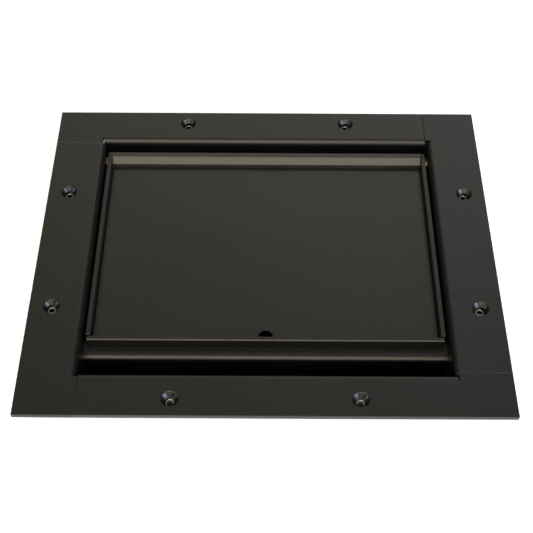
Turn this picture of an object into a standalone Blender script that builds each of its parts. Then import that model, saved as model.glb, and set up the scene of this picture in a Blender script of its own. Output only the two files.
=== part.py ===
"""Flush deck hatch: a welded sheet-steel frame and a recessed tray lid on two rear pivots.

Frame axes: +X to the hatch's right, +Y to its hinge side, +Z up out of the deck.
The origin is the centre of the rectangle that the throat walls stand on.
All sizes are in metres. The lid is modelled closed.
"""

import math

import bmesh
import bpy
from mathutils import Matrix, Vector

# Frame: four bent rails round a rectangular throat.
FRAME_WIDTH = 0.3048
FRAME_DEPTH = 0.2540
FRAME_HEIGHT = 0.0381
SIDE_FLANGE = 0.0346
END_FLANGE = 0.0284
SHEET = 0.0034
BEND_RADIUS = 0.0038
CORNER_LAP = 0.0020
CORNER_GAP = 0.0012
RELIEF_WIDTH = 0.0006
WELD_RADIUS = 0.0022
WELD_END_MARGIN = 0.0010

# Countersunk screw holes, pressed deeper than the sheet, two in each rail.
SCREW_SPACING_WIDTH = 0.1158
SCREW_SPACING_DEPTH = 0.0970
SCREW_INSET_WIDTH = 0.0114
SCREW_INSET_DEPTH = 0.0143
SINK_RADIUS = 0.0054
SINK_DEPTH = 0.0028
SOCKET_RADIUS = 0.0030
HOLE_RADIUS = 0.0020
COLLAR_WALL = 0.0014
COLLAR_DEPTH = 0.0054
HOLE_LIP = 0.0006

# Lid: a tray of the same sheet with side flanges, a front rim and a hinge bar.
LID_DROP = 0.0070
TRAY_DEPTH = 0.0070
LID_SIDE_GAP = 0.0023
LID_BACK_GAP = 0.0051
LIP_SIDE_GAP = 0.0009
CABLE_SLOT = 0.0195
SHELF = 0.0059
LIP_HEIGHT = 0.0120
FRONT_RIM_SETBACK = 0.0025
CORNER_RELIEF = 0.0009
ARRIS = 0.0006
LIFT_HOLE_RADIUS = 0.0045
LIFT_HOLE_MARGIN = 0.0003

# Hinge bar across the back of the tray.
BAR_DEPTH = 0.0085
BAR_LEDGE = 0.0040
BAR_CHAMFER_DROP = 0.0040
BAR_SHOULDER = 0.0020

# Pivots: a shoulder screw in a flanged bush on each side.
PIVOT_TO_WALL = 0.0101
PIVOT_BELOW_RIM = 0.0065
PIVOT_RADIUS = 0.0024
THREAD_RADIUS = 0.0020
THREAD_LENGTH = 0.0090
PIVOT_CLEARANCE = 0.0002
BUSH_WALL = 0.0011
BUSH_FLANGE_RADIUS = 0.0052
WASHER_RADIUS = 0.0050
WASHER_THICKNESS = 0.0008
HEAD_RADIUS = 0.0045
HEAD_HEIGHT = 0.0025
KEY_RADIUS = 0.0017
KEY_DEPTH = 0.0015
KEY_SIDES = 6

# Rests under the front corners of the lid.
REST_FROM_RIM = 0.0020
REST_WIDTH = 0.0160
REST_REACH = 0.0128
REST_LEG = 0.0120
REST_SHEET = 0.0025
REST_BEND = 0.0035
PAD_RADIUS = 0.0045
PAD_HEIGHT = 0.0025
PAD_EDGE = 0.0005
PAD_MARGIN = 0.0010
STEM_RADIUS = 0.0016
BARB_RADIUS = 0.0024
BARB_HEIGHT = 0.0018

# Gap between pieces that touch, and how far a cutter runs past what it cuts.
FIT_GAP = 0.0003
PAST = 0.0010

BEND_STEPS = 6
HOLE_SIDES = 20
ROUND_SIDES = 28
SMOOTH_ANGLE = math.radians(35.0)

# Every mesh is modelled about the centre of the frame's top face, so heights are below it.
FRAME_TOP = Vector((0.0, 0.0, FRAME_HEIGHT))

# Places that more than one piece uses.
BACK_WALL = FRAME_DEPTH / 2 - END_FLANGE
SIDE_WALL = FRAME_WIDTH / 2 - SIDE_FLANGE
RIM_TOP = -LID_DROP
FLOOR_TOP = RIM_TOP - TRAY_DEPTH
LID_BOTTOM = FLOOR_TOP - SHEET
LID_SIDE = SIDE_WALL - LID_SIDE_GAP
PLATE_SIDE = LID_SIDE - SHEET - FIT_GAP
LID_BACK = BACK_WALL - LID_BACK_GAP
LIP_FACE = -BACK_WALL + CABLE_SLOT
RIM_FACE = LIP_FACE + BEND_RADIUS + SHELF
RIM_BACK = RIM_FACE + SHEET
BAR_FACE = LID_BACK - BAR_DEPTH
PIVOT = Vector((0.0, BACK_WALL - PIVOT_TO_WALL, RIM_TOP - PIVOT_BELOW_RIM))
BUSH_BORE = PIVOT_RADIUS + PIVOT_CLEARANCE
BUSH_RADIUS = BUSH_BORE + BUSH_WALL
PAD_TOP = LID_BOTTOM - FIT_GAP
REST_TOP = PAD_TOP - PAD_HEIGHT - FIT_GAP


def clear_scene():
    """Remove whatever the scene holds."""
    for item in list(bpy.data.objects):
        bpy.data.objects.remove(item, do_unlink=True)


def make_finish(name, colour, roughness, metallic):
    """Make one Principled material."""
    finish = bpy.data.materials.new(name)
    finish.use_nodes = True
    shader = finish.node_tree.nodes["Principled BSDF"]
    shader.inputs["Base Color"].default_value = (*colour, 1.0)
    shader.inputs["Roughness"].default_value = roughness
    shader.inputs["Metallic"].default_value = metallic
    finish.diffuse_color = (*colour, 1.0)
    return finish


def make_empty(name, place):
    """Make an empty that pieces are placed by."""
    empty = bpy.data.objects.new(name, None)
    empty.location = place
    bpy.context.collection.objects.link(empty)
    return empty


def make_object(name, bm, finish=None, parent=None):
    """Turn a bmesh into a named object, smooth where faces meet at a small angle."""
    bmesh.ops.remove_doubles(bm, verts=bm.verts, dist=1e-7)
    bmesh.ops.recalc_face_normals(bm, faces=bm.faces)
    mesh = bpy.data.meshes.new(name)
    bm.to_mesh(mesh)
    bm.free()
    mesh.shade_smooth()
    mesh.set_sharp_from_angle(angle=SMOOTH_ANGLE)
    piece = bpy.data.objects.new(name, mesh)
    bpy.context.collection.objects.link(piece)
    if finish:
        mesh.materials.append(finish)
    if parent:
        piece.parent = parent
        piece.location = FRAME_TOP - parent.location
    return piece


def use_as_cutter(piece, target, operation):
    """Join a helper solid to a piece with a Boolean, and keep the helper out of the build."""
    piece.hide_render = True
    piece.display_type = "WIRE"
    piece.parent = target.parent
    piece.location = target.location
    piece.rotation_euler = target.rotation_euler
    boolean = target.modifiers.new(piece.name, "BOOLEAN")
    boolean.operation = operation
    boolean.solver = "EXACT"
    boolean.object = piece


def box_mesh(low, high):
    """A box between two corners."""
    low = Vector(low)
    high = Vector(high)
    bm = bmesh.new()
    size = Matrix.Diagonal((*(high - low), 1.0))
    bmesh.ops.create_cube(bm, size=1.0, matrix=Matrix.Translation((low + high) / 2) @ size)
    return bm


def bar_mesh(low, high, arris):
    """A box whose edges are all rounded by the same small amount."""
    bm = box_mesh(low, high)
    bmesh.ops.bevel(
        bm, geom=bm.edges, offset=arris, segments=1, profile=0.5, affect="EDGES"
    )
    return bm


def prism_mesh(outline, start, end, roundings=()):
    """Extrude an outline of (y, z) points along X, after rounding some of its corners.

    Each rounding is (corner number, distance along the sides, steps).
    """
    bm = bmesh.new()
    corners = [bm.verts.new((start, y, z)) for y, z in outline]
    bm.faces.new(corners)
    for number, distance, steps in roundings:
        bmesh.ops.bevel(
            bm,
            geom=[corners[number]],
            offset=distance,
            segments=steps,
            profile=0.5,
            affect="VERTICES",
        )
    made = bmesh.ops.extrude_face_region(bm, geom=bm.faces[:])
    moved = [item for item in made["geom"] if isinstance(item, bmesh.types.BMVert)]
    bmesh.ops.translate(bm, verts=moved, vec=(end - start, 0.0, 0.0))
    return bm


def angle_mesh(free_edge, corner, top, depth, sheet, radius, start, end):
    """A sheet bent down by a right angle at `corner`, extruded along X.

    The flat leg runs from `free_edge` to `corner` along Y, and the other leg hangs from it.
    """
    inward = math.copysign(sheet, free_edge - corner)
    outline = (
        (free_edge, top),
        (corner, top),
        (corner, top - depth),
        (corner + inward, top - depth),
        (corner + inward, top - sheet),
        (free_edge, top - sheet),
    )
    roundings = ((1, radius, BEND_STEPS), (4, radius - sheet, BEND_STEPS))
    return prism_mesh(outline, start, end, roundings)


def turned_mesh(profile, centre, axis="Z", sides=ROUND_SIDES):
    """Spin a closed outline of (radius, height) points about an axis through `centre`."""
    bm = bmesh.new()
    ring = [bm.verts.new((radius, 0.0, height)) for radius, height in profile]
    for number, vert in enumerate(ring):
        following = ring[(number + 1) % len(ring)]
        if vert.co.x > 0.0 or following.co.x > 0.0:
            bm.edges.new((vert, following))
    bmesh.ops.spin(
        bm,
        geom=bm.verts[:] + bm.edges[:],
        cent=(0.0, 0.0, 0.0),
        axis=(0.0, 0.0, 1.0),
        angle=math.tau,
        steps=sides,
        use_merge=True,
    )
    bmesh.ops.remove_doubles(bm, verts=bm.verts, dist=1e-7)
    turn = Matrix.Identity(4)
    if axis == "+X":
        turn = Matrix.Rotation(math.radians(90.0), 4, "Y")
    elif axis == "-X":
        turn = Matrix.Rotation(math.radians(-90.0), 4, "Y")
    bmesh.ops.transform(bm, matrix=Matrix.Translation(centre) @ turn, verts=bm.verts)
    return bm


def disc_profile(radius, low, high):
    """The half section of a plain round bar."""
    return ((0.0, low), (radius, low), (radius, high), (0.0, high))


def ring_profile(inner, outer, low, high):
    """The half section of a plain washer or tube."""
    return ((inner, low), (outer, low), (outer, high), (inner, high))


def merge_meshes(parts):
    """Put several bmeshes into the first one."""
    whole = parts[0]
    for part in parts[1:]:
        holder = bpy.data.meshes.new("holder")
        part.to_mesh(holder)
        part.free()
        whole.from_mesh(holder)
        bpy.data.meshes.remove(holder)
    return whole


def make_rail(name, turn, along, wall, outer, spacing, inset, finish, parent, pivot_bore=None):
    """One frame rail: a flange and a throat wall bent from one strip, with two screw holes.

    The rail is built on the +Y side and turned about Z. `along` is (half the frame, half the
    throat) along the rail. Its flange runs out to the frame's edge at its left end, where the
    next rail butts on it, and stops a little short of the throat's corner at its right end.
    """
    frame_end, throat_end = along
    bend_start = -throat_end - CORNER_LAP
    bend_end = throat_end - CORNER_GAP - FIT_GAP
    seam = wall - CORNER_GAP
    rail = make_object(
        name,
        angle_mesh(outer, wall, 0.0, FRAME_HEIGHT, SHEET, BEND_RADIUS, bend_start, bend_end),
        finish,
        parent,
    )
    rail.rotation_euler.z = turn

    tab = box_mesh((-frame_end, seam, -SHEET), (bend_start, outer, 0.0))
    use_as_cutter(make_object(f"cut_{name}_tab", tab), rail, "UNION")

    relief_end = wall + BEND_RADIUS + RELIEF_WIDTH
    relief = box_mesh(
        (bend_start - RELIEF_WIDTH, seam - PAST, -SHEET - PAST),
        (bend_start, relief_end, PAST),
    )
    use_as_cutter(make_object(f"cut_{name}_relief", relief), rail, "DIFFERENCE")

    centres = [(side * spacing / 2, outer - inset, 0.0) for side in (-1, 1)]
    collar = disc_profile(SOCKET_RADIUS + COLLAR_WALL, -COLLAR_DEPTH, -SHEET / 2)
    collars = merge_meshes([turned_mesh(collar, centre, sides=HOLE_SIDES) for centre in centres])
    use_as_cutter(make_object(f"cut_{name}_collars", collars), rail, "UNION")

    slope = (SINK_RADIUS - SOCKET_RADIUS) / SINK_DEPTH
    sink = (
        (0.0, PAST),
        (SINK_RADIUS + slope * PAST, PAST),
        (SOCKET_RADIUS, -SINK_DEPTH),
        (SOCKET_RADIUS, -COLLAR_DEPTH + HOLE_LIP),
        (HOLE_RADIUS, -COLLAR_DEPTH + HOLE_LIP),
        (HOLE_RADIUS, -COLLAR_DEPTH - PAST),
        (0.0, -COLLAR_DEPTH - PAST),
    )
    sinks = merge_meshes([turned_mesh(sink, centre, sides=HOLE_SIDES) for centre in centres])
    use_as_cutter(make_object(f"cut_{name}_holes", sinks), rail, "DIFFERENCE")

    if pivot_bore is not None:
        bore = turned_mesh(disc_profile(BUSH_RADIUS + FIT_GAP, -PAST, SHEET + PAST), (0.0, 0.0, 0.0))
        place = Matrix.Translation((pivot_bore, wall, PIVOT.z))
        turn_to_wall = Matrix.Rotation(math.radians(-90.0), 4, "X")
        bmesh.ops.transform(bore, matrix=place @ turn_to_wall, verts=bore.verts)
        use_as_cutter(make_object(f"cut_{name}_bore", bore), rail, "DIFFERENCE")
    return rail


def make_frame(steel, parent):
    """The four rails, each turned a quarter from the one before, and their corner welds."""
    long_along = (FRAME_WIDTH / 2, SIDE_WALL)
    short_along = (FRAME_DEPTH / 2, BACK_WALL)
    long_side = (long_along, BACK_WALL, FRAME_DEPTH / 2, SCREW_SPACING_WIDTH, SCREW_INSET_WIDTH)
    short_side = (short_along, SIDE_WALL, FRAME_WIDTH / 2, SCREW_SPACING_DEPTH, SCREW_INSET_DEPTH)
    rails = (
        ("frame_rail_back", 0, long_side, None),
        ("frame_rail_right", -1, short_side, -PIVOT.y),
        ("frame_rail_front", -2, long_side, None),
        ("frame_rail_left", -3, short_side, PIVOT.y),
    )
    for name, quarter, (along, wall, outer, spacing, inset), pivot_bore in rails:
        turn = quarter * math.pi / 2
        make_rail(name, turn, along, wall, outer, spacing, inset, steel, parent, pivot_bore)
        weld_name = name.replace("frame_rail", "corner_weld")
        make_corner_weld(weld_name, along[1], wall, steel, parent).rotation_euler.z = turn


def make_corner_weld(name, throat_end, wall, finish, parent):
    """A vertical quarter-round bead outside the throat, where a rail laps the next one."""
    low = -FRAME_HEIGHT + WELD_END_MARGIN
    high = -BEND_RADIUS - WELD_END_MARGIN
    bm = turned_mesh(disc_profile(WELD_RADIUS, low, high), (0.0, 0.0, 0.0), sides=HOLE_SIDES)
    for normal in ((1.0, 0.0, 0.0), (0.0, -1.0, 0.0)):
        cut = bmesh.ops.bisect_plane(
            bm,
            geom=bm.verts[:] + bm.edges[:] + bm.faces[:],
            plane_co=(0.0, 0.0, 0.0),
            plane_no=normal,
            clear_outer=True,
        )
        edges = [item for item in cut["geom_cut"] if isinstance(item, bmesh.types.BMEdge)]
        bmesh.ops.holes_fill(bm, edges=edges)
    corner = (-throat_end - CORNER_LAP - FIT_GAP, wall - CORNER_GAP, 0.0)
    bmesh.ops.translate(bm, verts=bm.verts, vec=corner)
    return make_object(name, bm, finish, parent)


def make_lid_plate(steel, parent):
    """The tray floor, which runs on under the front rim and bends down as a rounded lip."""
    lip_side = SIDE_WALL - LIP_SIDE_GAP
    plate = make_object(
        "lid_plate",
        angle_mesh(
            BAR_FACE - FIT_GAP,
            LIP_FACE,
            FLOOR_TOP,
            LIP_HEIGHT,
            SHEET,
            BEND_RADIUS,
            -lip_side,
            lip_side,
        ),
        steel,
        parent,
    )
    notches = [
        box_mesh(
            (min(side * PLATE_SIDE, side * SIDE_WALL), RIM_BACK, LID_BOTTOM - PAST),
            (max(side * PLATE_SIDE, side * SIDE_WALL), LID_BACK, FLOOR_TOP + PAST),
        )
        for side in (-1, 1)
    ]
    use_as_cutter(make_object("cut_plate_notches", merge_meshes(notches)), plate, "DIFFERENCE")
    hole = turned_mesh(
        disc_profile(LIFT_HOLE_RADIUS, LID_BOTTOM - PAST, FLOOR_TOP + PAST),
        (0.0, RIM_BACK + LIFT_HOLE_MARGIN + LIFT_HOLE_RADIUS, 0.0),
    )
    use_as_cutter(make_object("cut_plate_lift_hole", hole), plate, "DIFFERENCE")
    return plate


def make_lid_sides(steel, parent):
    """The two upright side flanges of the tray, each bored for its pivot screw."""
    for side, word in ((-1, "left"), (1, "right")):
        inner = side * (LID_SIDE - SHEET)
        outer = side * LID_SIDE
        flange = make_object(
            f"lid_side_{word}",
            bar_mesh(
                (min(inner, outer), RIM_BACK + CORNER_RELIEF, LID_BOTTOM),
                (max(inner, outer), LID_BACK, RIM_TOP),
                ARRIS,
            ),
            steel,
            parent,
        )
        bore = turned_mesh(
            disc_profile(PIVOT_RADIUS + FIT_GAP, -SHEET - PAST, SHEET + PAST),
            (side * (LID_SIDE - SHEET / 2), PIVOT.y, PIVOT.z),
            axis="+X",
        )
        use_as_cutter(make_object(f"cut_lid_side_{word}", bore), flange, "DIFFERENCE")


def make_front_rim(steel, parent):
    """The bar that stands on the plate and closes the front of the tray."""
    half = SIDE_WALL - LIP_SIDE_GAP - FRONT_RIM_SETBACK
    bm = bar_mesh((-half, RIM_FACE, FLOOR_TOP + FIT_GAP), (half, RIM_BACK, RIM_TOP), ARRIS)
    return make_object("lid_front_rim", bm, steel, parent)


def make_hinge_bar(steel, parent):
    """The chamfered bar across the back of the tray, tapped at both ends for the pivots."""
    outline = (
        (LID_BACK, LID_BOTTOM),
        (LID_BACK, RIM_TOP),
        (LID_BACK - BAR_LEDGE, RIM_TOP),
        (BAR_FACE, RIM_TOP - BAR_CHAMFER_DROP),
        (BAR_FACE, LID_BOTTOM),
    )
    roundings = ((1, ARRIS, 1), (2, BAR_SHOULDER, BEND_STEPS), (3, ARRIS, 1))
    bar = make_object(
        "lid_hinge_bar", prism_mesh(outline, -PLATE_SIDE, PLATE_SIDE, roundings), steel, parent
    )
    depth = THREAD_LENGTH + FIT_GAP
    holes = [
        turned_mesh(
            disc_profile(THREAD_RADIUS + FIT_GAP, -depth, PAST),
            (side * PLATE_SIDE, PIVOT.y, PIVOT.z),
            axis="+X" if side > 0 else "-X",
        )
        for side in (-1, 1)
    ]
    use_as_cutter(make_object("cut_hinge_bar_taps", merge_meshes(holes)), bar, "DIFFERENCE")
    return bar


def make_pivots(brass, zinc, frame, lid):
    """On each side a flanged bush in the frame, and a shoulder screw and washer on the lid."""
    wall_outside = SIDE_WALL + SHEET
    flange_face = SIDE_WALL - FIT_GAP
    washer_face = wall_outside + FIT_GAP
    head_face = washer_face + WASHER_THICKNESS + FIT_GAP
    shoulder_end = LID_SIDE - SHEET
    flange_thickness = LID_SIDE_GAP - 2 * FIT_GAP
    for side, word in ((-1, "left"), (1, "right")):
        axis = "+X" if side > 0 else "-X"
        centre = (0.0, PIVOT.y, PIVOT.z)
        bush = (
            (BUSH_BORE, flange_face - flange_thickness),
            (BUSH_FLANGE_RADIUS, flange_face - flange_thickness),
            (BUSH_FLANGE_RADIUS, flange_face),
            (BUSH_RADIUS, flange_face),
            (BUSH_RADIUS, wall_outside),
            (BUSH_BORE, wall_outside),
        )
        make_object(f"pivot_bush_{word}", turned_mesh(bush, centre, axis), brass, frame)

        washer = ring_profile(
            PIVOT_RADIUS + FIT_GAP, WASHER_RADIUS, washer_face, washer_face + WASHER_THICKNESS
        )
        make_object(f"thrust_washer_{word}", turned_mesh(washer, centre, axis), zinc, lid)

        head_top = head_face + HEAD_HEIGHT
        screw = (
            (0.0, PLATE_SIDE - THREAD_LENGTH),
            (THREAD_RADIUS, PLATE_SIDE - THREAD_LENGTH),
            (THREAD_RADIUS, shoulder_end),
            (PIVOT_RADIUS, shoulder_end),
            (PIVOT_RADIUS, head_face),
            (HEAD_RADIUS, head_face),
            (HEAD_RADIUS, head_top - ARRIS),
            (HEAD_RADIUS - ARRIS, head_top),
            (0.0, head_top),
        )
        pin = make_object(f"pivot_screw_{word}", turned_mesh(screw, centre, axis), zinc, lid)
        key = disc_profile(KEY_RADIUS, head_top - KEY_DEPTH, head_top + PAST)
        use_as_cutter(
            make_object(f"cut_pivot_key_{word}", turned_mesh(key, centre, axis, KEY_SIDES)),
            pin,
            "DIFFERENCE",
        )


def make_rests(steel, rubber, parent):
    """A bracket on each side wall with a push-in pad, which the closed lid lies on."""
    low_y = RIM_BACK + REST_FROM_RIM
    centre_y = low_y + REST_WIDTH / 2
    wall_face = SIDE_WALL - FIT_GAP
    for side, word in ((-1, "left"), (1, "right")):
        bracket_mesh = angle_mesh(
            wall_face - REST_REACH,
            wall_face,
            REST_TOP,
            REST_LEG,
            REST_SHEET,
            REST_BEND,
            -REST_WIDTH / 2,
            REST_WIDTH / 2,
        )
        turn = Matrix.Rotation(-side * math.pi / 2, 4, "Z")
        bmesh.ops.transform(bracket_mesh, matrix=turn, verts=bracket_mesh.verts)
        bmesh.ops.translate(bracket_mesh, verts=bracket_mesh.verts, vec=(0.0, centre_y, 0.0))
        bracket = make_object(f"rest_bracket_{word}", bracket_mesh, steel, parent)

        pad_x = side * (wall_face - REST_REACH + PAD_MARGIN + PAD_RADIUS)
        hole = turned_mesh(
            disc_profile(STEM_RADIUS + FIT_GAP, REST_TOP - REST_SHEET - PAST, REST_TOP + PAST),
            (pad_x, centre_y, 0.0),
            sides=HOLE_SIDES,
        )
        use_as_cutter(make_object(f"cut_rest_{word}", hole), bracket, "DIFFERENCE")

        pad_low = PAD_TOP - PAD_HEIGHT
        barb_top = REST_TOP - REST_SHEET - FIT_GAP
        pad = (
            (0.0, PAD_TOP),
            (PAD_RADIUS - PAD_EDGE, PAD_TOP),
            (PAD_RADIUS, PAD_TOP - PAD_EDGE),
            (PAD_RADIUS, pad_low),
            (STEM_RADIUS, pad_low),
            (STEM_RADIUS, barb_top),
            (BARB_RADIUS, barb_top),
            (STEM_RADIUS, barb_top - BARB_HEIGHT),
            (0.0, barb_top - BARB_HEIGHT),
        )
        make_object(
            f"rest_pad_{word}",
            turned_mesh(pad, (pad_x, centre_y, 0.0), sides=HOLE_SIDES),
            rubber,
            parent,
        )


def main():
    """Build the closed hatch: the frame with what is fixed to it, then the lid."""
    clear_scene()
    black_steel = make_finish("black_powder_coated_steel", (0.030, 0.030, 0.027), 0.55, 0.0)
    brass = make_finish("brass", (0.62, 0.42, 0.17), 0.35, 1.0)
    zinc = make_finish("zinc_plated_steel", (0.55, 0.56, 0.58), 0.35, 1.0)
    rubber = make_finish("black_rubber", (0.012, 0.012, 0.012), 0.85, 0.0)

    frame = make_empty("frame_top_centre", FRAME_TOP)
    lid = make_empty("lid_hinge_axis", FRAME_TOP + PIVOT)

    make_frame(black_steel, frame)
    make_rests(black_steel, rubber, frame)
    make_pivots(brass, zinc, frame, lid)
    make_lid_plate(black_steel, lid)
    make_lid_sides(black_steel, lid)
    make_front_rim(black_steel, lid)
    make_hinge_bar(black_steel, lid)


main()
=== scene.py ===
"""Looks of a flush deck hatch: powder-coated frame, recessed lid, pivots and rests.

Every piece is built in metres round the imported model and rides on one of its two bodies.
Folded sheet pieces start as flat blanks, are cut and eased flat, and are then folded.
"""

import logging
import math
from collections.abc import Callable, Iterable, Sequence
from dataclasses import dataclass
from enum import Enum

import bmesh
import bpy
from mathutils import Matrix, Vector


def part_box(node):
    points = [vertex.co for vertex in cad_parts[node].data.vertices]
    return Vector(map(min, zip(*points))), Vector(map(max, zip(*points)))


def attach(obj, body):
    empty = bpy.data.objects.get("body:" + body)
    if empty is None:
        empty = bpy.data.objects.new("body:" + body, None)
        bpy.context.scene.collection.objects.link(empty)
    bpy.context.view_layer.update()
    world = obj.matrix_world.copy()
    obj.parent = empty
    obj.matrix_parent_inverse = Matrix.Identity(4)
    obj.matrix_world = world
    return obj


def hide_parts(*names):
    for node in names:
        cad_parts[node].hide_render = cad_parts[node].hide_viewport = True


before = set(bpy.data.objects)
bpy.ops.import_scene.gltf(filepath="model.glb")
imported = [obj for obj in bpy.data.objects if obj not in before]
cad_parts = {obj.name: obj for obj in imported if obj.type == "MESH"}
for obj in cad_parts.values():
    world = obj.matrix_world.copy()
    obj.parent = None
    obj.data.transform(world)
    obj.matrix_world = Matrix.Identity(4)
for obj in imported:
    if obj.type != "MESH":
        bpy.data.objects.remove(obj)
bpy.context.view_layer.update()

LOG = logging.getLogger("deck_hatch")

MM = 0.001
TOUCHING = 1e-7
# A cutter stands this far past a surface, and its shoulders stay this far off the surface.
CLEAR = 1.0 * MM
SKIM = 0.012 * MM
SMOOTH_ANGLE = math.radians(38.0)
QUARTER = math.pi / 2
TURN_AXES = {
    "Z": Matrix.Identity(4),
    "+X": Matrix.Rotation(QUARTER, 4, "Y"),
    "-X": Matrix.Rotation(-QUARTER, 4, "Y"),
}

Point2 = tuple[float, float]
Colour = tuple[float, float, float, float]
Rounding = tuple[int, float, int]


class Body(Enum):
    """The two bodies of the hatch."""

    FRAME = "frame"
    LID = "lid"


class Side(Enum):
    """Left or right of the hatch, as the sign of X."""

    LEFT = -1
    RIGHT = 1

    @property
    def word(self) -> str:
        """The side's name in piece names."""
        return self.name.lower()

    @property
    def axis(self) -> str:
        """The turning axis that points out of the hatch on this side."""
        return "+X" if self is Side.RIGHT else "-X"


def to_linear(colour: str) -> Colour:
    """Turn an sRGB hex colour into linear light.

    Args:
        colour: Six hex digits, with or without a leading hash.

    Returns:
        Red, green, blue and an alpha of 1.
    """
    digits = colour.lstrip("#")
    channels = []
    for start in (0, 2, 4):
        value = int(digits[start : start + 2], 16) / 255
        low = value / 12.92
        high = ((value + 0.055) / 1.055) ** 2.4
        channels.append(low if value <= 0.04045 else high)
    return (channels[0], channels[1], channels[2], 1.0)


def repeats(size_mm: float) -> float:
    """Texture scale whose pattern repeats about every `size_mm` millimetres."""
    return 1 / (size_mm * MM)


def add_node(
    tree: bpy.types.NodeTree,
    kind: str,
    settings: dict[str, object] | None = None,
    inputs: dict[str | int, object] | None = None,
) -> bpy.types.Node:
    """Add a node, set its properties and feed its inputs.

    Args:
        tree: The node tree that gets the node.
        kind: The node's type name, without the leading "ShaderNode".
        settings: Properties of the node, by name.
        inputs: A socket to link or a plain value for each input, by the input's name or number.

    Returns:
        The new node.
    """
    node = tree.nodes.new(f"ShaderNode{kind}")
    for name, value in (settings or {}).items():
        setattr(node, name, value)
    for name, source in (inputs or {}).items():
        if isinstance(source, bpy.types.NodeSocket):
            tree.links.new(source, node.inputs[name])
        else:
            node.inputs[name].default_value = source
    return node


def add_noise(
    tree: bpy.types.NodeTree,
    place: bpy.types.NodeSocket,
    size_mm: float,
    detail: float,
    roughness: float = 0.5,
) -> bpy.types.NodeSocket:
    """Add a cloudy noise.

    Args:
        tree: The node tree.
        place: Where the noise is looked up.
        size_mm: About how often the pattern repeats.
        detail: Octaves of finer noise.
        roughness: Share of the finer noise.

    Returns:
        The noise's value.
    """
    inputs = {
        "Vector": place,
        "Scale": repeats(size_mm),
        "Detail": detail,
        "Roughness": roughness,
    }
    return add_node(tree, "TexNoise", inputs=inputs).outputs["Fac"]


def add_range(
    tree: bpy.types.NodeTree,
    value: bpy.types.NodeSocket,
    given: Point2,
    wanted: Point2 = (0.0, 1.0),
    kind: str = "LINEAR",
) -> bpy.types.NodeSocket:
    """Map a value from one range onto another, and stop at its ends.

    Args:
        tree: The node tree.
        value: The value to map.
        given: Start and end of the value's range.
        wanted: What the start and the end become.
        kind: How the steps between run, LINEAR or SMOOTHSTEP.

    Returns:
        The mapped value.
    """
    inputs = {
        "Value": value,
        "From Min": given[0],
        "From Max": given[1],
        "To Min": wanted[0],
        "To Max": wanted[1],
    }
    return add_node(tree, "MapRange", {"interpolation_type": kind}, inputs).outputs["Result"]


def add_mix(
    tree: bpy.types.NodeTree,
    factor: bpy.types.NodeSocket | float,
    first: bpy.types.NodeSocket | Colour,
    second: bpy.types.NodeSocket | Colour,
    blend: str = "MIX",
) -> bpy.types.NodeSocket:
    """Mix two colours.

    Args:
        tree: The node tree.
        factor: Share of the second colour.
        first: The first colour.
        second: The second colour.
        blend: How they mix.

    Returns:
        The mixed colour.
    """
    settings = {"data_type": "RGBA", "blend_type": blend}
    return add_node(tree, "Mix", settings, {0: factor, 6: first, 7: second}).outputs[2]


def add_bump(
    tree: bpy.types.NodeTree,
    pattern: bpy.types.NodeSocket,
    height_mm: float,
    strength: float = 1.0,
) -> bpy.types.Node:
    """Add a bump.

    Args:
        tree: The node tree.
        pattern: The heights, from 0 to 1.
        height_mm: How high 1 stands.
        strength: Share of the bump that shows.

    Returns:
        The bump's node.
    """
    inputs = {"Height": pattern, "Distance": height_mm * MM, "Strength": strength}
    return add_node(tree, "Bump", inputs=inputs)


def add_ramp(
    tree: bpy.types.NodeTree, factor: bpy.types.NodeSocket, stops: Sequence[tuple[float, Colour]]
) -> bpy.types.NodeSocket:
    """Map a value through a colour ramp.

    Args:
        tree: The node tree.
        factor: The value to map.
        stops: Position and colour of each stop, in order.

    Returns:
        The ramp's colour output.
    """
    ramp = add_node(tree, "ValToRGB", inputs={"Fac": factor})
    elements = ramp.color_ramp.elements
    while len(elements) < len(stops):
        elements.new(1.0)
    for element, (position, colour) in zip(elements, stops, strict=True):
        element.position = position
        element.color = colour
    return ramp.outputs["Color"]


def grey(value: float) -> Colour:
    """A neutral linear colour."""
    return (value, value, value, 1.0)


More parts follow.
